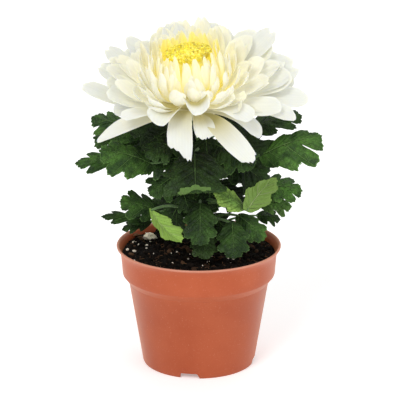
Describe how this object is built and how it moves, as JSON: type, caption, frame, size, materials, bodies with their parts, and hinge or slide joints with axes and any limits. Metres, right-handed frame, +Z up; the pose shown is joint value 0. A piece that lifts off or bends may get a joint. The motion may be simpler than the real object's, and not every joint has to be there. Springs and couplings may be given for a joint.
{
  "type": "potted chrysanthemum",
  "caption": "Potted chrysanthemum: one large double bloom of pale petals round a yellow disc on a stem with lobed leaves, in a round nursery pot with a collar, filled with soil.",
  "frame": {"origin": "centre of the pot's foot, on the surface that the pot stands on", "axes": "+Z up, -Y towards the plant's best side, +X to the right when seen from that side"},
  "size_m": [0.1785, 0.1204, 0.2495],
  "materials": {
    "terracotta_plastic": "satin",
    "potting_soil": "matte",
    "foliage": "satin",
    "green_bract": "matte",
    "white_petal": "matte",
    "yellow_floret": "matte"
  },
  "bodies": {
    "root": {"pot": "terracotta_plastic", "soil": "potting_soil", "leafy_stem": "foliage", "bloom_cup": "green_bract", "bloom_rays": "white_petal", "bloom_disc": "yellow_floret"}
  },
  "joints": []
}
